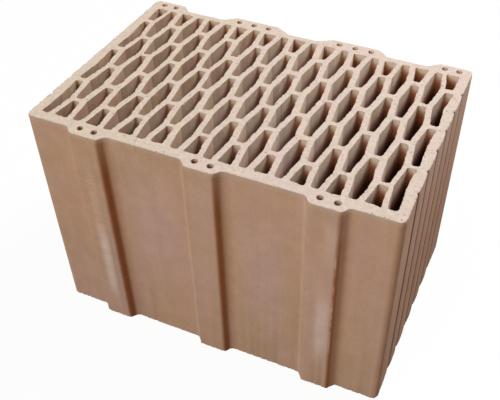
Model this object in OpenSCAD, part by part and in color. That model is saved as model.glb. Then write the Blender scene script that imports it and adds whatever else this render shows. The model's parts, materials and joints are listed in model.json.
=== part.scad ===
// Ground hollow clay block with upright cells, tongues on the front joint face and grooves on the back one

/* [Block] */
// Width across the wall, plaster face to plaster face
body_w = 365; // [340:1:400]
// Length along the wall, tongue tips to ridge tops
body_l = 250; // [238:1:262]
// Height between the two ground bed faces
body_h = 249; // [60:1:260]
// Radius of the four upright corners
corner_r = 6; // [2:0.5:8]

/* [Cells] */
// Clay between a plaster face and the edge slots
outer_wall = 10.5; // [8:0.5:14]
// Clay between the front joint face and the first cells
front_wall = 11.3; // [8:0.1:14]
// Clay between the groove floors and the last cells
back_wall = 8; // [5.5:0.1:10]
// Distance that the columns of cells aim for, evened out over the width
col_pitch = 16.85; // [16.2:0.05:18.6]
// Full cells in each column, which also has a short one
rows = 3; // [2:1:4]
// Cell width at its middle, where it is widest
cell_w = 14.6; // [12:0.1:16]
// Clay between neighbouring columns
side_web = 5.8; // [4.6:0.1:7]
// Clay between two cells of one column
cross_web = 5.4; // [4:0.1:7]
// Radius in the corners of a cell
cell_r = 2.2; // [0.8:0.1:2.6]
// Radius in the corners of a short cell's wide end
end_r = 1.5; // [0.5:0.1:2]
// Reach of the edge slots outside the edge column's axis
slot_out = 3.5; // [2.5:0.1:5]
// Bend of the edge slots' outer side at mid length
slot_bend = 1.6; // [0:0.1:2.2]

/* [Tongues] */
// Height of the tongues on the front joint face
tongue_h = 7.5; // [5:0.1:8.5]
// Tongue width at its tip
tongue_tip_w = 28.5; // [22:0.5:32]
// Tongue width at its root
tongue_root_w = 40; // [38:0.5:43]
// Distance of the outer tongues' axes from the plaster faces
tongue_in = 66; // [60:0.5:74]
// Radius on the tongue tips
tongue_tip_r = 3; // [1:0.5:4]
// Hollow radius at the tongue roots
tongue_root_r = 5; // [2:0.5:6]

/* [Grooves] */
// Depth of the grooves in the back joint face
groove_d = 9.5; // [8.6:0.1:10]
// Floor width of the two outer grooves
groove_w = 44; // [42:0.5:46]
// Floor width of the middle groove
mid_groove_w = 33; // [32:0.5:36]
// Run of the steep flanks next to the corner ridges
steep_run = 7.5; // [6:0.5:9]
// Run of the outer grooves' soft flanks, next to the middle ridges
soft_run = 12; // [10:0.5:14]
// Run of the middle groove's flanks
mid_run = 15.5; // [12:0.5:17]
// Radius on the ridge shoulders and in the groove floors
groove_r = 9; // [4:0.5:9]

/* [Drying holes] */
// Bore of the small round holes
hole_d = 6.5; // [4:0.1:7]
// Spacing of the two holes in a tongue
tongue_hole_pitch = 15.2; // [12:0.1:17]
// Distance of those holes behind the front joint face
tongue_hole_in = 2.2; // [1:0.1:3]
// Distance of the ridge holes from the ridge tops
ridge_hole_in = 7.8; // [7:0.1:8.6]
// Spacing of the holes in a middle ridge
ridge_hole_pitch = 17.5; // [14:0.1:18]
// Distance of the outermost holes from the plaster faces
corner_hole_in = 13; // [11:0.5:15]
// Spacing of the holes in a corner ridge
corner_hole_pitch = 14.5; // [12:0.1:16]

/* [Plaster grooves] */
// Depth of the narrow upright grooves in the plaster faces
rill_d = 1.6; // [0.8:0.1:2.2]
// Width of those grooves
rill_w = 5; // [3:0.5:8]
// Radius in the bottom of those grooves
rill_r = 0.8; // [0.3:0.1:1.2]
// Swell of the panels between them
panel_swell = 0.7; // [0.4:0.1:1]

/* [Hidden] */
clay = [0.80, 0.68, 0.58];
side_x = body_w / 2;
tongue_pitch = side_x - tongue_in;
tip_y = -body_l / 2;
front_y = tip_y + tongue_h;
ridge_y = body_l / 2;
floor_y = ridge_y - groove_d;
// First and last line of the cells along the wall
first_y = front_y + front_wall;
last_y = floor_y - back_wall;
// Number of the edge column, then the step, cell length and row pitch that fill the block
edge_col = round((side_x - outer_wall - slot_out) / col_pitch);
col_step = (side_x - outer_wall - slot_out) / edge_col;
cell_l = (last_y - first_y - (rows - 0.5) * cross_web) / (rows + 0.5);
row_pitch = cell_l + cross_web;
tip_w = 2 * (col_step - side_web) - cell_w;
// Length of the short cells that end at a joint face, and their width there
short_l = (last_y - first_y) - rows * row_pitch;
short_w = tip_w + (cell_w - tip_w) * short_l / (cell_l / 2);
// Middle of a ridge between two tongues' axes, and its inner and outer shoulder
ridge_x = tongue_pitch / 2;
ridge_in = mid_groove_w / 2 + mid_run;
ridge_out = tongue_pitch - groove_w / 2 - soft_run;
// Shoulder of a corner ridge
corner_ridge = tongue_pitch + groove_w / 2 + steep_run;
// Drying holes that a middle ridge has room for, the first of them, and the same for a corner ridge
ridge_holes = floor((ridge_out - ridge_in - 2 * hole_d) / ridge_hole_pitch) + 1;
first_ridge_hole = ridge_x - (ridge_holes - 1) * ridge_hole_pitch / 2;
first_corner_hole = side_x - corner_hole_in;
corner_holes = floor((first_corner_hole - corner_ridge - hole_d) / corner_hole_pitch) + 1;
ridge_hole_y = ridge_y - ridge_hole_in;
// Rills on a plaster face, and the flat land between a rounded corner and the first panel
rills = 2 * rows;
corner_land = 1;
// First and last line of the panels on a plaster face
panel_start = front_y + corner_r + corner_land;
panel_end = ridge_y - corner_r - corner_land;
// Steps in the arcs and in the swollen panels
corner_steps = 6;
bend_steps = 3;
panel_steps = 6;
// Lift that carries the cells clear through both bed faces
past = 1;

// Arc that rounds corner b between neighbours a and c with at most radius most, in n steps
// room is the stretch of either side that the arc may take up
function arc(a, b, c, most, n, room) =
    let (u = (a - b) / norm(a - b), v = (c - b) / norm(c - b))
    let (half = acos(max(-1, min(1, u * v))) / 2, r = min(most, room * tan(half)))
    let (mid = (u + v) / norm(u + v))
    let (centre = b + mid * r / sin(half))
    let (from = b + u * r / tan(half) - centre, to = b + v * r / tan(half) - centre)
    let (turn = 180 - 2 * half, way = sign(from[0] * to[1] - from[1] * to[0]))
    [for (i = [0 : n]) let (t = way * turn * i / n)
        centre + [from[0] * cos(t) - from[1] * sin(t), from[0] * sin(t) + from[1] * cos(t)]];

// Place of a corner, and the share of a side that a fillet may take when this corner is at its other end
function at(p) = [p[0], p[1]];
function free_share(p) = p[2] == 0 ? 0.98 : 0.49;

// Outline through corners [x, y, radius, steps], radius 0 keeps the corner sharp
function rounded(p) =
    let (n = len(p))
    [for (k = [0 : n - 1])
        let (b = p[k], a = p[(k + n - 1) % n], c = p[(k + 1) % n])
        each b[2] == 0 ? [[b[0], b[1]]] : arc(at(a), at(b), at(c), b[2], b[3],
            min(free_share(a) * norm(at(a) - at(b)), free_share(c) * norm(at(c) - at(b))))];

// Corners of one tongue, from left to right
function tongue(x) = [
    [x - tongue_root_w / 2, front_y, tongue_root_r, bend_steps],
    [x - tongue_tip_w / 2, tip_y, tongue_tip_r, bend_steps],
    [x + tongue_tip_w / 2, tip_y, tongue_tip_r, bend_steps],
    [x + tongue_root_w / 2, front_y, tongue_root_r, bend_steps]];

// Upright rills of the right plaster face, from front to back, one at each slot's middle and end
function rill_y(k) = first_y + cell_l / 2 + k * row_pitch / 2;
function rill(k) = [
    [side_x - panel_swell, rill_y(k) - rill_w / 2, 0],
    [side_x - panel_swell - rill_d, rill_y(k), rill_r, bend_steps],
    [side_x - panel_swell, rill_y(k) + rill_w / 2, 0]];
// Inner points of a swollen stretch between y and z, highest at t = 0 of the run from t1 to t2
function swell(y, z, t1, t2) = [
    for (i = [1 : panel_steps - 1]) let (t = t1 + (t2 - t1) * i / panel_steps)
        [side_x - panel_swell * t * t, y + (z - y) * i / panel_steps, 0]];
function plaster_face() = concat(
    swell(panel_start, rill_y(0) - rill_w / 2, 0, 1),
    [for (k = [0 : rills - 1]) each concat(rill(k), k == rills - 1 ? []
        : swell(rill_y(k) + rill_w / 2, rill_y(k + 1) - rill_w / 2, -1, 1))],
    swell(rill_y(rills - 1) + rill_w / 2, panel_end, -1, 0));

// Right half of the back joint face, from the corner ridge to the middle groove
function back_half() = [
    [corner_ridge, ridge_y, groove_r, bend_steps + 1],
    [tongue_pitch + groove_w / 2, floor_y, groove_r, bend_steps + 1],
    [tongue_pitch - groove_w / 2, floor_y, groove_r, bend_steps + 1],
    [ridge_out, ridge_y, groove_r, bend_steps + 1],
    [ridge_in, ridge_y, groove_r, bend_steps + 1],
    [mid_groove_w / 2, floor_y, groove_r, bend_steps + 1]];

// Right half of the outline from the middle tongue's tip round to the middle groove
function right_half() = concat(
    [for (i = [2, 3]) tongue(0)[i]],
    tongue(tongue_pitch),
    [[side_x, front_y, corner_r, corner_steps], [side_x, panel_start, 0]],
    plaster_face(),
    [[side_x, panel_end, 0], [side_x, ridge_y, corner_r, corner_steps]],
    back_half());
function flipped(p) = [for (i = [len(p) - 1 : -1 : 0]) [-p[i][0], p[i][1], p[i][2], p[i][3]]];

module outline() {
    polygon(rounded(concat(right_half(), flipped(right_half()))));
}

// Long six-sided cell, centred
module full_cell() {
    polygon(rounded([
        [-tip_w / 2, -cell_l / 2, cell_r, bend_steps],
        [tip_w / 2, -cell_l / 2, cell_r, bend_steps],
        [cell_w / 2, 0, 0],
        [tip_w / 2, cell_l / 2, cell_r, bend_steps],
        [-tip_w / 2, cell_l / 2, cell_r, bend_steps],
        [-cell_w / 2, 0, 0]]));
}

// Short cell that ends flat at a joint face, its tip towards the back
module short_cell() {
    polygon(rounded([
        [-short_w / 2, 0, end_r, bend_steps],
        [short_w / 2, 0, end_r, bend_steps],
        [tip_w / 2, short_l, cell_r, bend_steps],
        [-tip_w / 2, short_l, cell_r, bend_steps]]));
}

// Narrow bent slot of the right edge column, centred
module edge_slot() {
    polygon(rounded([
        [-tip_w / 2, -cell_l / 2, cell_r, bend_steps],
        [slot_out, -cell_l / 2, cell_r, bend_steps],
        [slot_out - slot_bend, 0, 0],
        [slot_out, cell_l / 2, cell_r, bend_steps],
        [-tip_w / 2, cell_l / 2, cell_r, bend_steps],
        [-cell_w / 2, 0, 0]]));
}

// Small cell behind the edge slots, its wide end at the back joint face
module edge_cell() {
    polygon(rounded([
        [-tip_w / 2, -short_l, end_r, bend_steps],
        [slot_out - slot_bend / 2, -short_l, end_r, bend_steps],
        [slot_out, 0, end_r, bend_steps],
        [-short_w / 2, 0, end_r, bend_steps]]));
}

// Columns that start with a full cell at the front, then the columns staggered half a row behind
module cells() {
    for (c = [-edge_col + 2 : 2 : edge_col - 2]) translate([c * col_step, 0]) {
        for (k = [0 : rows - 1]) translate([0, first_y + cell_l / 2 + k * row_pitch]) full_cell();
        translate([0, last_y]) mirror([0, 1]) short_cell();
    }
    for (c = [-edge_col + 1 : 2 : edge_col - 1]) translate([c * col_step, 0]) {
        for (k = [0 : rows - 1]) translate([0, last_y - cell_l / 2 - k * row_pitch]) full_cell();
        translate([0, first_y]) short_cell();
    }
    for (m = [0, 1]) mirror([m, 0]) translate([edge_col * col_step, 0]) {
        for (k = [0 : rows - 1]) translate([0, first_y + cell_l / 2 + k * row_pitch]) edge_slot();
        translate([0, last_y]) edge_cell();
    }
}

// Small round holes in the tongues and in the ridges
module drying_holes() {
    for (t = [-1 : 1]) for (s = [-0.5, 0.5])
        translate([t * tongue_pitch + s * tongue_hole_pitch, front_y + tongue_hole_in]) circle(d = hole_d);
    for (m = [-1, 1]) {
        for (k = [0 : ridge_holes - 1])
            translate([m * (first_ridge_hole + k * ridge_hole_pitch), ridge_hole_y]) circle(d = hole_d);
        for (k = [0 : corner_holes - 1])
            translate([m * (first_corner_hole - k * corner_hole_pitch), ridge_hole_y]) circle(d = hole_d);
    }
}

module clay_block() {
    color(clay) difference() {
        linear_extrude(height = body_h) outline();
        translate([0, 0, -past]) linear_extrude(height = body_h + 2 * past) cells();
        translate([0, 0, -past]) linear_extrude(height = body_h + 2 * past) drying_holes();
    }
}

clay_block();
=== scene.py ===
"""Hollow clay block with ground bed faces, worn rims and a fired skin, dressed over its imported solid."""
import json
import math

import bmesh
import bpy
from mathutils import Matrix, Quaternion, Vector

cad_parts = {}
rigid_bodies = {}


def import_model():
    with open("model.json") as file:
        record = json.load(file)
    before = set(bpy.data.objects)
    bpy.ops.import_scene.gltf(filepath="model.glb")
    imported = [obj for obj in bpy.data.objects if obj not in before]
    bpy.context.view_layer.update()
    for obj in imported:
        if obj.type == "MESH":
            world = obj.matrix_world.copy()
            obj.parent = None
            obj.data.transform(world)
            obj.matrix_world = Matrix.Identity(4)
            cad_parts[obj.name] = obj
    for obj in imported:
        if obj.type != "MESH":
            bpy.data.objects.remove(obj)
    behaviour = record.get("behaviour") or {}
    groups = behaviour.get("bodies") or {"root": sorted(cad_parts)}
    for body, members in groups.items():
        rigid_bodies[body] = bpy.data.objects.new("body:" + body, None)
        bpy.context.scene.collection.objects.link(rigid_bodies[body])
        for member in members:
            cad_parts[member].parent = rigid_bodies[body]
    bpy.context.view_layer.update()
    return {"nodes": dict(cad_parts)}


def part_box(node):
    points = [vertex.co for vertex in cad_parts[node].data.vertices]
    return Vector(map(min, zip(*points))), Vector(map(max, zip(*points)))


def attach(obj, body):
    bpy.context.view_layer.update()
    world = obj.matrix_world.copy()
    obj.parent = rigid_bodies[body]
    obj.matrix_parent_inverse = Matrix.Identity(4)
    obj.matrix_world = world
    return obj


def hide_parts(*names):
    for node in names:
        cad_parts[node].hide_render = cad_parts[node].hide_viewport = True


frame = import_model()

# Sizes of the block that its finish follows, in metres
MM = 0.001
BLOCK = "clay_block"
low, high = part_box(BLOCK)
TONGUE_PITCH = 116.5 * MM
TONGUE_HEIGHT = 7.5 * MM
TONGUE_TIP = 14.25 * MM
TONGUE_ROOT = 20 * MM
FRONT_Y = low.y + TONGUE_HEIGHT
RILL_REACH = 112 * MM
FIRST_RILL_Y = -77.6 * MM

# Points of the dressed mesh: their spacing along a rim, and the rings of points up the walls
POINT_GAP = 1.6 * MM
MOST_CUTS = 60
WELD = 0.01 * MM
RINGS = (0.0, 1.2 * MM, 124 * MM, 205 * MM, 242 * MM, 246.2 * MM, 248 * MM, 249 * MM)
RIM_BAND = 0.95 * MM
CREASE_RUN = 5 * MM
SMOOTH_TURN = math.radians(38)

# Tests on the mesh: a wall's normal rises less than the first, a flat bed's more than the second
WALL_RISE = 0.5
BED_RISE = 0.99
FULL_WEIGHT = 0.99

# The piece's own map: the gap between its parts, its rows of cells, and each ring's height in such a row
MAP_NAME = "OFBake"
MAP_GAP = 3 / 1024
CELL_ROWS = 6
CELL_ROW_FILL = 0.93
RING_SHARES = (0.0, 0.02, 0.24, 0.44, 0.86, 0.93, 0.97, 1.0)
SKIN, BED, CELL = 0, 1, 2

# Hairline cracks in millimetres: ends on the upper bed face, one upright in a cell, one in the tongue face
HAIRLINES = (
    ((-69.6, -106.8), (-66.8, -117.5)), ((-139, -43), (-127, -43.8)), ((-96.2, -46.8), (-91.8, -44.9)),
    ((41.5, 45), (47, 41)))
CELL_CRACK = (28, -7)
RIM_SPLIT = ((-67, 250), (-65.5, 241))
HAIRLINE_STRAY = 2.4 * MM
HAIRLINE_END = 0.8 * MM
HAIRLINE_CORE = 0.3

# Waver of the cell outlines: how far and over what span
WOBBLE = 1.9 * MM
WOBBLE_SPAN = 22 * MM

# Cores that stand off their places in the die: where, how far right and back in millimetres, and how wide
CORE_SHIFTS = (
    (-167, -78, -0.3, -0.9, 1.09), (-167, -16, -0.5, -1.0, 1.05), (-167, 47, 0.4, 1.0, 1.07),
    (-167, 95, 0.6, 0.7, 1.15), (-151, -47, -0.6, -0.1, 0.95), (-134, -16, -0.4, 0.9, 0.95),
    (-84, -95, 0.7, 0.6, 1.00), (-50, -95, -0.7, 0.5, 0.87), (-135, 95, 0.2, 1.2, 0.96),
    (-50, -47, -0.5, -0.5, 0.92), (-101, 95, -0.4, 0.6, 0.94), (-50, 15, -0.6, -0.7, 1.00),
    (-16, -47, -0.5, -1.2, 0.97), (0, -79, -0.3, -0.9, 1.05), (-50, 78, -0.3, 1.4, 0.98),
    (0, 46, 0.0, 0.5, 0.90), (0, 95, -0.5, 1.5, 0.95), (17, 78, -0.7, 1.7, 0.97),
    (51, 15, 0.7, 0.3, 0.95), (68, -17, 0.3, 1.3, 0.98), (101, -79, -0.9, 0.1, 0.95),
    (34, 95, -0.1, 1.7, 0.96), (51, 78, -0.1, 1.6, 0.97), (118, -95, -1.5, 0.1, 1.00),
    (68, 47, 0.0, -0.9, 0.96), (118, -47, -1.0, -1.0, 0.97), (135, -78, -1.0, 0.3, 1.06),
    (101, 46, -0.2, 1.3, 0.95), (152, -95, -0.5, 0.9, 1.09), (118, 78, -0.8, 1.1, 0.95),
    (167, -80, -0.6, 1.0, 1.16), (135, 95, -0.9, 1.0, 0.98), (167, -17, 0.5, -0.1, 1.10),
    (167, 46, 0.6, 0.1, 1.18), (167, 95, -1.1, 1.1, 1.18))

# Upper ends of the rills: each plaster face with the share of their depth that grinding left, and its reach
RILL_SMEARS = ((-1, -low.x, 0.25), (1, high.x, 0.80))
SMEAR_REACH = 2.6 * MM
SMEAR_HEIGHT = 4 * MM
SMEAR_SKIN = 0.1 * MM

# Wear of the rims: how deep they are worn, nicked and torn
RIM_SHARES = ((2, 0.12), (1, 0.45), (0, 1.0))
BED_SHARE = 0.0
EDGE_WEAR = 0.30 * MM
NICK_DEPTH = 0.85 * MM
NICK_SPAN = 2.2 * MM
TEAR_DEPTH = 0.70 * MM
TEAR_SPAN = 3.4 * MM
WEAR_CUT = 0.54
WEAR_CONTRAST = 5.0
TORN_BAND = 3 * MM
TORN_ROOM = 1.0 * MM
FRONT_CELLS_Y = FRONT_Y + 8.5 * MM
BACK_CELLS_Y = high.y - 14 * MM

# Specular level of the matt clay, half of Blender's usual one
CLAY_GLOSS = 0.25

# Camera, as the photograph's frame of 500 by 400 pixels gives it
PHOTO_WIDTH = 500
PHOTO_HEIGHT = 400
SENSOR = 36.0
FOCAL_PIXELS = 749.1
AXIS_PIXEL = (287.4, 210.4)
EYE = Vector((0.25686, -0.54731, 0.66037))
AIM = Vector((0.03300, 0.0, 0.10765))
ROLL = math.radians(1.016)

# Light: a soft key lamp from above, behind and right, a low fill from the front left, and an even sky
LAMPS = (
    ("key", Vector((0.85, 1.25, 1.85)), 1.2, 47.0),
    ("fill", Vector((-0.70, -2.45, 1.45)), 1.5, 44.0))
SKY_STRENGTH = 0.16
FLOOR_SIZE = 14.0
FLOOR_WHITE_SHARE = 0.95
FLOOR_BOUNCE = (0.28, 0.26, 0.24, 1)
WHITE = (1, 1, 1, 1)


def take(piece):
    """Selects one object alone and makes it the active one."""
    bpy.ops.object.select_all(action="DESELECT")
    piece.select_set(True)
    bpy.context.view_layer.objects.active = piece


def in_metres(parts):
    """Lengths in metres, from millimetres."""
    return [part * MM for part in parts]


def pick(piece, kind, test):
    """Selects the vertices, edges or faces that pass a test, in edit mode, and gives their number."""
    bpy.ops.mesh.select_mode(type=kind)
    bpy.ops.mesh.select_all(action="DESELECT")
    shape = bmesh.from_edit_mesh(piece.data)
    parts = {"VERT": shape.verts, "EDGE": shape.edges, "FACE": shape.faces}[kind]
    chosen = [part for part in parts if test(part)]
    for part in chosen:
        part.select_set(True)
    bmesh.update_edit_mesh(piece.data)
    return len(chosen)


class Grade:
    """An output of a finish's nodes. Operators on a number add Math nodes."""

    def __init__(self, finish, socket):
        self.finish = finish
        self.socket = socket

    def math(self, operation, *terms):
        return self.finish.node("ShaderNodeMath", {"operation": operation}, dict(enumerate(terms)))

    def __add__(self, other):
        return self.math("ADD", self, other)

    def __radd__(self, other):
        return self.math("ADD", other, self)

    def __sub__(self, other):
        return self.math("SUBTRACT", self, other)

    def __rsub__(self, other):
        return self.math("SUBTRACT", other, self)

    def __mul__(self, other):
        return self.math("MULTIPLY", self, other)

    def __rmul__(self, other):
        return self.math("MULTIPLY", other, self)

    def __abs__(self):
        return self.math("ABSOLUTE", self)

    def most(self, other):
        """The larger of two numbers."""
        return self.math("MAXIMUM", self, other)

    def rise(self, start, end):
        """0 before start, 1 past end and a soft step between them, where end may be the smaller."""
        limits = {"From Min": start, "From Max": end, "To Min": 0.0, "To Max": 1.0}
        if start > end:
            limits = {"From Min": end, "From Max": start, "To Min": 1.0, "To Max": 0.0}
        return self.finish.node(
            "ShaderNodeMapRange", {"interpolation_type": "SMOOTHSTEP"}, {"Value": self, **limits})

    def band(self, centre, half, soft):
        """1 within half of centre, and 0 past a soft edge."""
        return abs(self - centre).rise(half + soft, half)


class Finish:
    """A node tree that is put together one node at a time."""

    def __init__(self, owner):
        owner.use_nodes = True
        self.owner = owner
        self.tree = owner.node_tree
        self.tree.nodes.clear()

    def node(self, kind, settings, sockets, output=0):
        made = self.tree.nodes.new(kind)
        for name, setting in settings.items():
            setattr(made, name, setting)
        for name, given in sockets.items():
            if isinstance(given, Grade):
                self.tree.links.new(given.socket, made.inputs[name])
            else:
                made.inputs[name].default_value = given
        return Grade(self, made.outputs[output] if made.outputs else None)

    def place(self):
        return self.node("ShaderNodeTexCoord", {}, {}, "Object")

    def axes(self):
        """The three object coordinates, in metres."""
        place = self.place()
        return [self.node("ShaderNodeSeparateXYZ", {}, {"Vector": place}, axis) for axis in "XYZ"]

    def facing(self):
        """The three parts of the surface's own normal."""
        normal = self.node("ShaderNodeTexCoord", {}, {}, "Normal")
        return [self.node("ShaderNodeSeparateXYZ", {}, {"Vector": normal}, axis) for axis in "XYZ"]

    def spot(self, shift, stretch):
        return self.node(
            "ShaderNodeMapping", {}, {"Vector": self.place(), "Location": shift, "Scale": stretch})

    def noise(self, size, detail=2.0, rough=0.5, shift=(0, 0, 0), stretch=(1, 1, 1)):
        """Soft noise from 0 to 1, with blotches of about a size in metres."""
        return self.node(
            "ShaderNodeTexNoise", {"noise_dimensions": "3D"},
            {"Vector": self.spot(shift, stretch), "Scale": 0.5 / size, "Detail": detail, "Roughness": rough})

    def dots(self, gap, shift=(0, 0, 0)):
        """Distance to the nearest of many scattered points, in units of their gap in metres."""
        return self.node(
            "ShaderNodeTexVoronoi", {"feature": "F1"},
            {"Vector": self.spot(shift, (1, 1, 1)), "Scale": 1 / gap, "Randomness": 1.0})

    def hairline(self, sideways, upward, start, end, width):
        """1 along a thin, slightly crooked line between two places of a face, given in millimetres."""
        start, end = Vector(start) * MM, Vector(end) * MM
        run = end - start
        way = run.normalized()
        stray = self.noise(0.0025, 1.0, 0.5, (0.6, 0.9, 0.2)) - 0.5
        right, over = sideways - start.x, upward - start.y
        along = right * way.x + over * way.y
        aside = abs(right * way.y - over * way.x + HAIRLINE_STRAY * stray)
        thin = aside.rise(width, HAIRLINE_CORE * width)
        return thin * along.band(run.length / 2, run.length / 2, HAIRLINE_END)

    def mix(self, share, first, second, way="MIX"):
        """Blends two colours."""
        settings = {"data_type": "RGBA", "blend_type": way, "clamp_factor": True}
        return self.node("ShaderNodeMix", settings, {0: share, 6: first, 7: second}, 2)

    def shade(self, colour, amount):
        """A colour made lighter or darker by a number that varies about 1."""
        tone = self.node("ShaderNodeCombineColor", {}, {"Red": amount, "Green": amount, "Blue": amount})
        return self.mix(1.0, colour, tone, "MULTIPLY")

    def bump(self, height, depth, under=None):
        sockets = {"Height": height, "Strength": 1.0, "Distance": depth}
        if under is not None:
            sockets["Normal"] = under
        return self.node("ShaderNodeBump", {}, sockets)

    def clay(self, colour, roughness, normal):
        """Ends the tree in a matt clay surface."""
        surface = self.node("ShaderNodeBsdfPrincipled", {}, {
            "Base Color": colour, "Roughness": roughness, "Normal": normal,
            "Specular IOR Level": CLAY_GLOSS})
        self.node("ShaderNodeOutputMaterial", {}, {"Surface": surface})
        return self.owner


def fired_skin():
    """Outer walls: tan clay with pink and ochre clouds and drag lines, painted shade in the rills, the
    tongue roots, on the rounded front right edge and partly on the right plaster face, and painted
    highlights on and beside the tongues.
    """
    skin = Finish(bpy.data.materials.new("fired_skin"))
    x, y, z = skin.axes()
    across = skin.facing()[0]
    tan = (0.570, 0.340, 0.218, 1)
    pink = (0.580, 0.354, 0.274, 1)
    ochre = (0.530, 0.330, 0.194, 1)
    rosy = (0.595, 0.374, 0.298, 1)
    root_shade_umber = (0.290, 0.082, 0.014, 1)
    corner_shade_russet = (0.470, 0.232, 0.124, 1)
    ashen = (0.440, 0.302, 0.245, 1)
    pale = (0.720, 0.480, 0.360, 1)
    chalky = (0.780, 0.600, 0.500, 1)
    dull = (0.482, 0.280, 0.190, 1)
    dusty = (0.640, 0.480, 0.400, 1)
    rim_band_grey = (0.555, 0.400, 0.278, 1)
    dim = (0.395, 0.212, 0.136, 1)
    rill_shade_and_crack = (0.150, 0.058, 0.032, 1)
    drift = skin.noise(0.060, 3.0, 0.55)
    blush = skin.noise(0.035, 3.0, 0.6, (0.3, 0.1, 0.7), (1, 1, 0.45))
    mottle = skin.noise(0.009, 3.0, 0.6, (0.5, 0.2, 0.4))
    streaks = skin.noise(0.004, 2.0, 0.5, (0, 0, 0), (1, 1, 0.03))
    ripples = skin.noise(0.0011, 1.0, 0.5, (0.2, 0.8, 0.3), (0.12, 0.12, 1))
    grain = skin.noise(0.0012, 2.0, 0.6)
    colour = skin.mix(drift.rise(0.35, 0.68), tan, ochre)
    colour = skin.mix(blush.rise(0.42, 0.70) * 0.75, colour, pink)
    front = y.rise(FRONT_Y + 4 * MM, FRONT_Y + 1 * MM)
    tips = y.rise(low.y + 3 * MM, low.y + 1 * MM)
    # Rosy panels: place in tongue pitches, then middle, half size and soft edge across and upwards in mm
    panels = (
        (-0.5, (0, 8, 34), (145, 20, 100), front, 0.7),
        (0.5, (0, 8, 34), (130, 20, 100), front, 0.7),
        (1, (0, 12, 6), (105, 50, 70), tips, 0.5),
        (0, (0, 8, 6), (165, 35, 70), tips, 0.3))
    for pitches, aside, upward, level, share in panels:
        panel = (x - pitches * TONGUE_PITCH).band(*in_metres(aside)) * z.band(*in_metres(upward)) * level
        colour = skin.mix(panel * share, colour, rosy)
    # Plaster faces: a duller clay that darkens towards the bottom, laid on more thickly on the right face as
    # painted shade of that face.
    plaster = skin.mix(z.rise(high.z - 0.04, low.z + 0.09), dull, dim)
    plaster_shade_share = abs(across).rise(0.80, 0.98) * (0.50 + 0.38 * x.rise(-0.1, 0.1))
    colour = skin.mix(plaster_shade_share, colour, plaster)
    # A paler zone high on the back half of the right face.
    upper_back_paling = x.rise(high.x - 4 * MM, high.x - 3 * MM) * z.rise(high.z - 60 * MM, high.z - 8 * MM)
    colour = skin.mix(upper_back_paling * y.rise(-0.10, 0.0) * 0.34, colour, dusty)
    # Painted shade in the rills of the plaster faces, including the frontmost rill of the right face.
    sunk = (high.x - abs(x)).band(1.7 * MM, 0.3 * MM, 0.6 * MM)
    straight = abs(y - (FRONT_Y + high.y) / 2).rise(RILL_REACH + 2 * MM, RILL_REACH)
    first = (y - FIRST_RILL_Y).band(0.8 * MM, 2.2 * MM, 1.2 * MM) * x.rise(high.x - 4 * MM, high.x - 3 * MM)
    rill = (sunk * straight * 0.9).most(first * 0.9)
    colour = skin.mix(rill * z.rise(high.z + 1 * MM, high.z - 3 * MM), colour, rill_shade_and_crack)
    # Painted shade on the rounded front right edge of the block.
    corner_shade = x.rise(high.x - 8 * MM, high.x - 3 * MM) * y.rise(FRONT_Y + 9 * MM, FRONT_Y + 4 * MM)
    colour = skin.mix(corner_shade * 0.62, colour, corner_shade_russet)
    # Painted shade in the tongue roots: a narrow core beside each tongue with a softer halo, weaker towards
    # the top.
    for side, shift, spread in ((-1, -1.1, 0.30), (0, -0.5, 0.30), (1, 1.5, 0.39)):
        offset = x - side * TONGUE_PITCH
        flank = offset + shift * MM
        root = flank.rise(TONGUE_TIP - (3.4 - 1.1 * side) * MM, TONGUE_TIP + (1 + 0.3 * side) * MM)
        root = root * flank.rise(TONGUE_ROOT - 0.2 * MM, TONGUE_TIP + 1.8 * MM)
        root_shade_halo = flank.rise(TONGUE_TIP - (4 - 3 * side) * MM, TONGUE_TIP + 1 * MM)
        root_shade_halo = root_shade_halo * flank.rise(TONGUE_ROOT + 9 * MM, TONGUE_ROOT - 1 * MM)
        deep = 0.62 + 0.38 * z.rise(high.z - 2 * MM, high.z - 45 * MM)
        colour = skin.mix((root * (0.91 - 0.03 * side)).most(root_shade_halo * spread) * deep * front, colour, root_shade_umber)
        # Painted highlight: a pale line along the left edge of each tongue.
        edge = offset.band(-TONGUE_ROOT + 2 * MM, 1.4 * MM, 2.4 * MM) * front
        colour = skin.mix(edge * 0.5, colour, pale)
    waves = ripples.rise(0.35, 0.65)
    # Patches on the tongue faces, the chalky and pale ones painted highlights rippled by drag lines, the
    # ashen one a greyer tint: tongue, then middle, half size and soft edge across and upwards in mm, tint
    # and shares
    tongue_patches = (
        (-1, (9.0, 1.5, 4), (85, 30, 50), ashen, 0.50, 0.0),
        (-1, (0.3, 0.4, 8.5), (86, 25, 45), chalky, 0.56, 0.26),
        (-1, (-0.5, 2.5, 4), (170, 30, 35), pale, 0.12, 0.32),
        (1, (3.5, 2, 8), (92, 16, 48), chalky, 0.58, 0.0),
        (1, (8, 1.5, 8), (212, 4, 30), chalky, 0.28, 0.0))
    for tongue, aside, upward, tint, even, wavy in tongue_patches:
        patch_mask = (x - tongue * TONGUE_PITCH).band(*in_metres(aside)) * z.band(*in_metres(upward)) * tips
        colour = skin.mix(patch_mask * (even + wavy * waves), colour, tint)
    worn = (x - TONGUE_PITCH).band(TONGUE_TIP - 1.2 * MM, 0.3 * MM, 0.9 * MM) * z.band(0.13, 0.05, 0.04)
    colour = skin.mix(worn * tips * mottle.rise(0.42, 0.62) * 0.40, colour, chalky)
    # A paler, greyer band just under the upper rim on the front.
    under_rim = z.rise(high.z - 6.5 * MM, high.z - 1.5 * MM) * front
    colour = skin.mix(under_rim * 0.6, colour, rim_band_grey)
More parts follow.
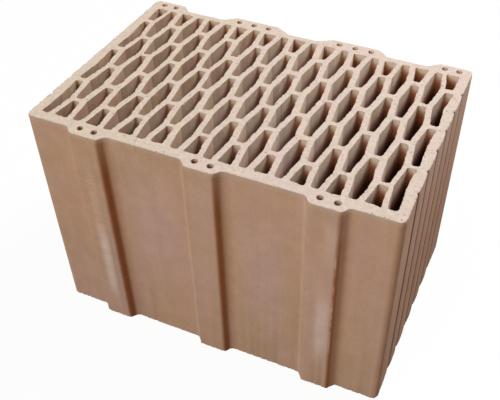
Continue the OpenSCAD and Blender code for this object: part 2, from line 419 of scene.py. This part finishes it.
    # A real hairline crack under the rim, in the same colour as the rill shade.
    split = skin.hairline(x, z, *RIM_SPLIT, 0.9 * MM) * front
    colour = skin.mix(split * 0.16, colour, rill_shade_and_crack)
    tone = 0.94 + 0.02 * z.rise(low.z, high.z) + 0.04 * x.rise(low.x, high.x)
    colour = skin.shade(colour, tone + 0.12 * (streaks - 0.5) + 0.22 * (grain - 0.5) + 0.26 * (mottle - 0.5))
    rolled = (x + TONGUE_PITCH).band(-0.5 * MM, 7 * MM, 3 * MM) * tips
    normal = skin.bump(streaks, 0.25 * MM)
    normal = skin.bump(ripples * rolled, 0.55 * MM, normal)
    normal = skin.bump(grain, 0.32 * MM, normal)
    return skin.clay(colour, 0.86 + 0.10 * (grain - 0.5), normal)


def ground_bed():
    """Bed faces: pale ground clay with grain, small pits, dark specks and hairline cracks."""
    bed = Finish(bpy.data.materials.new("ground_bed"))
    x, y, z = bed.axes()
    cream = (0.700, 0.572, 0.475, 1)
    rose = (0.710, 0.565, 0.492, 1)
    straw = (0.700, 0.574, 0.446, 1)
    pit = (0.300, 0.205, 0.145, 1)
    drift = bed.noise(0.030, 3.0, 0.6)
    grain = bed.noise(0.0011, 3.0, 0.65)
    grit = bed.noise(0.0020, 3.0, 0.7, (0.4, 0.6, 0.2))
    colour = bed.mix(drift.rise(0.35, 0.65), cream, rose)
    colour = bed.mix((x + 0.05 * (drift - 0.5)).rise(0.06, -0.14) * 0.7, colour, straw)
    reach = bed.noise(0.006, 1.0, 0.5, (0.2, 0.4, 0.1))
    pits = bed.dots(0.0062).rise(0.15, 0.07) * reach.rise(0.47, 0.56)
    specks = bed.dots(0.0030, (0.03, 0.07, 0.01)).rise(0.22, 0.10) * reach.rise(0.66, 0.40)
    colour = bed.mix(specks * 0.72, colour, pit)
    colour = bed.mix(pits * 0.85, colour, pit)
    for start, end in HAIRLINES:
        colour = bed.mix(bed.hairline(x, y, start, end, 0.8 * MM) * 0.36, colour, pit)
    colour = bed.shade(colour, 1 + 0.20 * (grain - 0.5) + 0.50 * (grit - 0.5))
    normal = bed.bump(grain, 0.20 * MM)
    normal = bed.bump(grit, 0.45 * MM, normal)
    normal = bed.bump(1 - pits, 0.50 * MM, normal)
    return bed.clay(colour, 0.92 + 0.06 * (grain - 0.5), normal)


def cell_clay():
    """Cell walls: pale at the rims, with painted shade further down, in the tip corners and along the
    creases, painted orange-brown bounce light on the tips, painted light on facets that face the back, and
    drag lines.
    """
    wall = Finish(bpy.data.materials.new("cell_clay"))
    x, y, z = wall.axes()
    along = wall.facing()[1]
    dusty = (0.700, 0.570, 0.455, 1)
    sandy = (0.490, 0.345, 0.235, 1)
    olive = (0.450, 0.335, 0.190, 1)
    cream = (0.740, 0.580, 0.430, 1)
    brick = (0.480, 0.272, 0.190, 1)
    shade_mauve = (0.515, 0.308, 0.246, 1)
    deep_shade_tawny = (0.425, 0.190, 0.098, 1)
    deep_shade_maroon = (0.240, 0.068, 0.052, 1)
    bounce_and_shade_rust = (0.500, 0.178, 0.078, 1)
    deep_corner_shade = (0.140, 0.042, 0.022, 1)
    streaks = wall.noise(0.0035, 2.0, 0.55, (0, 0, 0), (1, 1, 0.03))
    drift = wall.noise(0.022, 3.0, 0.6)
    patches = wall.noise(0.009, 2.0, 0.5, (0.7, 0.1, 0.5))
    flush = wall.noise(0.012, 2.0, 0.5, (0.2, 0.6, 0.3))
    grain = wall.noise(0.0012, 2.0, 0.6)
    middle = (low.z + high.z) / 2
    depth = (high.z - middle) - abs(z - middle) + 0.012 * (drift - 0.5)
    leftward = (x + 0.03 * (drift - 0.5)).rise(0.10, -0.13)
    tip = abs(along).rise(0.60, 0.90)
    corner_shade = abs(along).band(0.55, 0.12, 0.22)
    colour = wall.mix(leftward, dusty, sandy)
    colour = wall.mix(patches.rise(0.48, 0.68) * leftward * 0.6, colour, olive)
    colour = wall.mix(flush.rise(0.50, 0.64) * leftward * 0.65, colour, brick)
    colour = wall.mix(tip * 0.72, colour, cream)
    # Painted shade down in the cells, maroon on the right and tawny on the left.
    colour = wall.mix(depth.rise(0.004, 0.022) * (0.8 - 0.4 * leftward), colour, shade_mauve)
    colour = wall.mix(depth.rise(0.010, 0.038), colour, wall.mix(leftward, deep_shade_maroon, deep_shade_tawny))
    # Painted orange-brown bounce light on the tip walls near the rims, and painted shade in the corners
    # between side and tip walls.
    colour = wall.mix((tip * depth.rise(0.002, 0.013)).most(corner_shade * 0.6), colour, bounce_and_shade_rust)
    # Painted shade deep in the tips and their corners.
    colour = wall.mix(tip.most(corner_shade) * depth.rise(0.010, 0.032) * 0.6, colour, deep_corner_shade)
    colour = wall.mix(y.rise(-0.06, -0.10) * 0.25, colour, brick)
    crack_x, crack_y = in_metres(CELL_CRACK)
    crack = (y - crack_y).band(0, 0.4 * MM, 0.4 * MM) * (x - crack_x).band(0, 3 * MM, MM)
    # Painted shade along the creases of the walls.
    crease = wall.node("ShaderNodeAttribute", {"attribute_name": "folds"}, {}, "Fac").rise(0.3, 1.0)
    # Painted light and shade: wall facets that face the back lighter, those that face the front darker.
    facet_lighting = along.rise(-0.05, 0.05) - 0.5
    ends = 0.10 * y.rise(0.05, 0.10) - 0.07 * y.rise(-0.06, -0.10)
    tone = 1 + ends + 0.08 * facet_lighting - 0.26 * crease - 0.65 * crack
    colour = wall.shade(colour, tone + 0.18 * (streaks - 0.5) + 0.16 * (grain - 0.5))
    normal = wall.bump(streaks, 0.35 * MM)
    normal = wall.bump(grain, 0.20 * MM, normal)
    return wall.clay(colour, 0.90 + 0.08 * (grain - 0.5), normal)


def keep_group(block, name, share):
    """Gives the selected points a weight in a named vertex group."""
    group = block.vertex_groups.get(name) or block.vertex_groups.new(name=name)
    block.vertex_groups.active_index = group.index
    bpy.context.scene.tool_settings.vertex_group_weight = share
    bpy.ops.object.vertex_group_assign()


def weight_test(block, name):
    """A test for points that have their full weight in a named vertex group."""
    index = block.vertex_groups[name].index
    layer = bmesh.from_edit_mesh(block.data).verts.layers.deform.active
    return lambda point: point[layer].get(index, 0.0) > FULL_WEIGHT


def on_wall(part):
    """Tells whether a point or edge of the edited mesh has a wall beside it."""
    return any(abs(face.normal.z) < WALL_RISE for face in part.link_faces)


def bed_outlines(block):
    """Cuts the block's copy down to the outlines of its lower bed face and sets points along them."""
    bpy.ops.object.mode_set(mode="EDIT")
    bpy.ops.mesh.select_all(action="SELECT")
    bpy.ops.mesh.remove_doubles(threshold=WELD)

    def on_lower_rim(edge):
        return all(point.co.z < low.z + MM for point in edge.verts) and on_wall(edge)

    pick(block, "EDGE", on_lower_rim)
    bpy.ops.mesh.select_all(action="INVERT")
    bpy.ops.mesh.delete(type="EDGE")
    leftmost = min(point.co.x for point in bmesh.from_edit_mesh(block.data).verts)
    pick(block, "VERT", lambda point: point.co.x == leftmost)
    bpy.ops.mesh.select_linked()
    keep_group(block, "outer", 1.0)
    bpy.ops.mesh.select_all(action="INVERT")
    keep_group(block, "cells", 1.0)
    in_cell = weight_test(block, "cells")
    pick(block, "VERT", lambda point: in_cell(point) and all(
        edge.calc_length() > CREASE_RUN for edge in point.link_edges))
    keep_group(block, "crease", 1.0)
    for cuts in range(MOST_CUTS, 0, -1):
        if pick(block, "EDGE", lambda edge: math.ceil(edge.calc_length() / POINT_GAP) - 1 == cuts):
            bpy.ops.mesh.subdivide(number_cuts=cuts)


def clouds(name, span, cut=None):
    """A cloud texture with blotches of about a span, or its peaks alone where a cut is given."""
    made = bpy.data.textures.new(name, "CLOUDS")
    made.noise_scale = span
    made.noise_depth = 1
    if cut is not None:
        made.use_clamp = True
        made.contrast = WEAR_CONTRAST
        made.intensity = 0.5 - WEAR_CONTRAST * (cut - 0.5)
    return made


def displace(block, texture, strength, group, direction="NORMAL", middle=0.0):
    """Moves the points of a vertex group by a texture, and applies it."""
    bpy.ops.object.mode_set(mode="OBJECT")
    bpy.ops.object.modifier_add(type="DISPLACE")
    moved = block.modifiers[-1]
    moved.texture = texture
    moved.texture_coords = "LOCAL"
    moved.direction = direction
    moved.mid_level = middle
    moved.strength = strength
    moved.vertex_group = group
    bpy.ops.object.modifier_apply(modifier=moved.name)
    bpy.ops.object.mode_set(mode="EDIT")


def waver(block):
    """Lets the cell outlines waver a little, as worn cores leave them."""
    drift = clouds("core_drift", WOBBLE_SPAN)
    drift.cloud_type = "COLOR"
    displace(block, drift, WOBBLE, "cells", "RGB_TO_XYZ", 0.5)
    bpy.ops.mesh.select_all(action="SELECT")
    bpy.ops.transform.resize(value=(1, 1, 0), center_override=(0, 0, low.z))


def shift_cores(block):
    """Sets single cells off their places and makes them wider or narrower."""
    in_cell = weight_test(block, "cells")
    for x, y, right, back, width in CORE_SHIFTS:
        middle = Vector((x * MM, y * MM, low.z))
        points = [point for point in bmesh.from_edit_mesh(block.data).verts if in_cell(point)]
        nearest = min(points, key=lambda point: (point.co - middle).length).index
        pick(block, "VERT", lambda point: point.index == nearest)
        bpy.ops.mesh.select_linked()
        bpy.ops.transform.resize(value=(width, 1, 1), center_override=middle)
        bpy.ops.transform.translate(value=(right * MM, back * MM, 0))


def draw_walls(block):
    """Draws the outlines up into walls, as the clay leaves its die, and closes both bed faces."""
    bpy.ops.mesh.select_all(action="SELECT")
    for lower, upper in zip(RINGS, RINGS[1:]):
        bpy.ops.mesh.extrude_region_move(TRANSFORM_OT_translate={"value": (0, 0, upper - lower)})
    for height in (low.z, high.z):
        pick(block, "EDGE", lambda edge: all(abs(point.co.z - height) < WELD for point in edge.verts))
        bpy.ops.mesh.fill(use_beauty=True)
        bpy.ops.mesh.inset(thickness=RIM_BAND, depth=0.0, use_even_offset=True)
        bpy.ops.mesh.region_to_loop()
        bpy.ops.mesh.mark_sharp()
    bpy.ops.mesh.select_all(action="SELECT")
    bpy.ops.mesh.normals_make_consistent(inside=False)
    creased = weight_test(block, "crease")
    pick(block, "EDGE", lambda edge: all(creased(point) for point in edge.verts))
    bpy.ops.mesh.mark_sharp()


def mark_creases(block):
    """Keeps the creases of the cell walls in an attribute, for the painted shade along them in their finish.
    """
    group = block.vertex_groups["crease"].index
    folds = block.data.attributes.new("folds", "FLOAT", "POINT")
    for point, fold in zip(block.data.vertices, folds.data):
        fold.value = any(held.group == group and held.weight > FULL_WEIGHT for held in point.groups)


def lower_outlines(block):
    """Outlines of the lower rim, from above: the outer one counter-clockwise, then the cells clockwise."""
    links = {}
    for face in block.data.polygons:
        spots = [block.data.vertices[index].co for index in face.vertices]
        feet = [spot.xy.to_tuple() for spot in spots if spot.z < low.z + WELD]
        if face.material_index != BED and len(feet) == 2:
            links.setdefault(feet[0], []).append(feet[1])
            links.setdefault(feet[1], []).append(feet[0])
    outlines = []
    while links:
        start = min(links)
        turn = max if outlines else min
        path = [start, turn(links[start], key=lambda place: place[1])]
        ahead = None
        while ahead != start:
            if ahead is not None:
                path.append(ahead)
            one, other = links[path[-1]]
            ahead = other if one == path[-2] else one
        for place in path:
            del links[place]
        outlines.append(path)
    return outlines


def lay_out(block):
    """Lays the surface out flat on the piece's own map, with most room for the beds and outer walls."""
    outer, *cells = lower_outlines(block)
    far_corner = (high.x, high.y)
    arcs = {}
    lengths = []
    for number, path in enumerate([outer] + cells):
        run = 0.0
        for place, ahead in zip(path, path[1:] + path[:1]):
            arcs[place] = (number, run)
            run += math.dist(place, ahead)
        lengths.append(run)
    turn = arcs[min(outer, key=lambda place: math.dist(place, far_corner))][1]
    scale = (1 - 3 * MAP_GAP) / (high.x - low.x + max(turn, lengths[0] - turn))
    bed_width = (high.x - low.x) * scale + 2 * MAP_GAP
    row = (high.y - low.y) * scale + MAP_GAP
    cell_row = (1 - 2 * row - MAP_GAP) / CELL_ROWS
    cell_scale = (CELL_ROWS * CELL_ROW_FILL - 2 * MAP_GAP * len(cells)) / sum(lengths[1:])
    cell_corners = {}
    across, level = MAP_GAP, 0
    for number in sorted(range(1, len(lengths)), key=lambda cell: -lengths[cell]):
        width = lengths[number] * cell_scale + MAP_GAP
        if across + width > 1:
            across, level = MAP_GAP, level + 1
        cell_corners[number] = (across, 2 * row + MAP_GAP + level * cell_row)
        across += width
    heights = {round(ring / MM, 1): share for ring, share in zip(RINGS, RING_SHARES)}
    places = block.data.uv_layers.new(name=MAP_NAME).uv
    for face in block.data.polygons:
        spots = [block.data.vertices[index].co for index in face.vertices]
        if face.material_index == BED:
            upper = face.normal.z > 0
            for index, spot in zip(face.loop_indices, spots):
                u = (spot.x - low.x if upper else high.x - spot.x) * scale
                v = (spot.y - low.y) * scale + MAP_GAP + (0 if upper else row)
                places[index].vector = (u + MAP_GAP, v)
            continue
        number = arcs[spots[0].xy.to_tuple()][0]
        runs = [arcs[spot.xy.to_tuple()][1] for spot in spots]
        closing = max(runs) - min(runs) > lengths[number] / 2
        second = closing or min(runs) >= turn
        for index, spot, run in zip(face.loop_indices, spots, runs):
            if closing and run < max(runs):
                run = lengths[number]
            if number in cell_corners:
                left, foot = cell_corners[number]
                u = left + run * cell_scale
                v = foot + heights[round((spot.z - low.z) / MM, 1)] * (cell_row - MAP_GAP)
            else:
                u = bed_width + (run - turn if second else run) * scale
                v = (spot.z - low.z) * scale + MAP_GAP + (row if second else 0)
            places[index].vector = (u, v)


def smear_rills(block):
    """Fills the upper ends of the rills, where grinding smeared clay into them, more so on the left face."""
    for side, face_x, kept in RILL_SMEARS:
        pick(block, "VERT", lambda point: (
            side * point.co.x > face_x - SMEAR_REACH and point.co.z > high.z - SMEAR_HEIGHT
            and abs(point.co.y) < RILL_REACH and on_wall(point)))
        bpy.ops.transform.resize(value=(kept, 1, 1), center_override=(side * (face_x - SMEAR_SKIN), 0, 0))


def wear_rims(block):
    """Rounds the outer rims, nicks all of them and tears the upper one on the right."""
    outer = weight_test(block, "outer")

    def on_rim(point):
        flat = min(abs(point.co.z - low.z), abs(point.co.z - high.z)) < WELD
        return flat and on_wall(point)

    def on_bed(point):
        return abs(point.normal.z) > BED_RISE and not on_rim(point)

    def torn(point):
        return point.co.x > high.x - TORN_BAND and point.co.z > high.z / 2 and abs(point.co.y) < RILL_REACH

    def nicked(point):
        return on_rim(point) and (outer(point) or FRONT_CELLS_Y < point.co.y < BACK_CELLS_Y)

    pick(block, "VERT", lambda point: torn(point) and on_bed(point))
    bpy.ops.transform.translate(value=(-TORN_ROOM, 0, 0))
    groups = {
        "rim": nicked,
        "outer_rim": lambda point: on_rim(point) and outer(point),
        "torn_rim": lambda point: on_rim(point) and torn(point)}
    for name, test in groups.items():
        for grow, share in RIM_SHARES:
            pick(block, "VERT", test)
            for step in range(grow):
                bpy.ops.mesh.select_more()
            keep_group(block, name, share)
            if grow == 1:
                pick(block, "VERT", on_bed)
                keep_group(block, name, BED_SHARE)
    displace(block, None, -EDGE_WEAR, "outer_rim")
    displace(block, clouds("nicks", NICK_SPAN, WEAR_CUT), -NICK_DEPTH, "rim")
    displace(block, clouds("tears", TEAR_SPAN, WEAR_CUT), -TEAR_DEPTH, "torn_rim")


def fired_block(node):
    """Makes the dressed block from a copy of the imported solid's mesh."""
    block = bpy.data.objects.new("fired_block", node.data.copy())
    block.data.materials.clear()
    bpy.context.scene.collection.objects.link(block)
    take(block)
    bed_outlines(block)
    waver(block)
    shift_cores(block)
    draw_walls(block)
    bpy.ops.object.mode_set(mode="OBJECT")
    mark_creases(block)
    for finish in (fired_skin(), ground_bed(), cell_clay()):
        block.data.materials.append(finish)
    outer = block.vertex_groups["outer"].index
    for face in block.data.polygons:
        if abs(face.normal.z) > WALL_RISE:
            face.material_index = BED
            continue
        groups = [held.group for held in block.data.vertices[face.vertices[0]].groups]
        face.material_index = SKIN if outer in groups else CELL
    lay_out(block)
    bpy.ops.object.mode_set(mode="EDIT")
    smear_rills(block)
    wear_rims(block)
    bpy.ops.object.mode_set(mode="OBJECT")
    bpy.ops.object.shade_smooth_by_angle(angle=SMOOTH_TURN)
    return block


def aim_at(thing, target, roll=0.0):
    """Turns a camera or lamp towards a point."""
    turn = (target - thing.location).to_track_quat("-Z", "Y")
    thing.rotation_mode = "QUATERNION"
    thing.rotation_quaternion = turn @ Quaternion((0, 0, 1), roll)


def set_camera():
    """Sets up the camera at the photograph's viewing angle."""
    bpy.ops.object.camera_add(location=EYE)
    camera = bpy.context.object
    camera.data.sensor_width = SENSOR
    camera.data.lens = FOCAL_PIXELS * SENSOR / PHOTO_WIDTH
    camera.data.shift_x = (PHOTO_WIDTH / 2 - AXIS_PIXEL[0]) / PHOTO_WIDTH
    camera.data.shift_y = (AXIS_PIXEL[1] - PHOTO_HEIGHT / 2) / PHOTO_WIDTH
    aim_at(camera, AIM, ROLL)
    bpy.context.scene.camera = camera


def seen_directly(finish):
    """1 for what the camera, a reflection or glass shows, and 0 for light that bounces."""
    rays = [finish.node("ShaderNodeLightPath", {}, {}, ray)
            for ray in ("Is Camera Ray", "Is Glossy Ray", "Is Transmission Ray")]
    return rays[0].most(rays[1]).most(rays[2])


def set_light():
    """Sets up the lamps and an even sky, which shows as white."""
    for name, place, size, power in LAMPS:
        bpy.ops.object.light_add(type="AREA", location=place)
        lamp = bpy.context.object
        lamp.name = name
        lamp.data.shape = "DISK"
        lamp.data.size = size
        lamp.data.energy = power
        aim_at(lamp, Vector((0, 0, high.z / 2)))
    world = bpy.data.worlds.new("sky")
    bpy.context.scene.world = world
    sky = Finish(world)
    light = sky.node("ShaderNodeBackground", {}, {"Color": WHITE, "Strength": SKY_STRENGTH})
    shown = sky.node("ShaderNodeBackground", {}, {"Color": WHITE, "Strength": 1.0})
    both = sky.node("ShaderNodeMixShader", {}, {0: seen_directly(sky), 1: light, 2: shown})
    sky.node("ShaderNodeOutputWorld", {}, {"Surface": both})


def set_floor():
    """Lays a pale floor that keeps a soft shadow and shows almost white."""
    bpy.ops.mesh.primitive_plane_add(size=FLOOR_SIZE, location=(0, 0, low.z))
    floor = bpy.context.object
    floor.name = "floor"
    ground = Finish(bpy.data.materials.new("pale_floor"))
    bounce = ground.node("ShaderNodeBsdfDiffuse", {}, {"Color": FLOOR_BOUNCE})
    shadow = ground.node("ShaderNodeBsdfDiffuse", {}, {"Color": WHITE})
    white = ground.node("ShaderNodeEmission", {}, {"Color": WHITE, "Strength": 1.0})
    shown = ground.node("ShaderNodeMixShader", {}, {0: FLOOR_WHITE_SHARE, 1: shadow, 2: white})
    both = ground.node("ShaderNodeMixShader", {}, {0: seen_directly(ground), 1: bounce, 2: shown})
    ground.node("ShaderNodeOutputMaterial", {}, {"Surface": both})
    floor.data.materials.append(ground.owner)


bpy.context.scene.view_settings.view_transform = "Standard"
set_camera()
set_light()
set_floor()
block = fired_block(frame["nodes"][BLOCK])
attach(block, "root")
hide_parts(BLOCK)
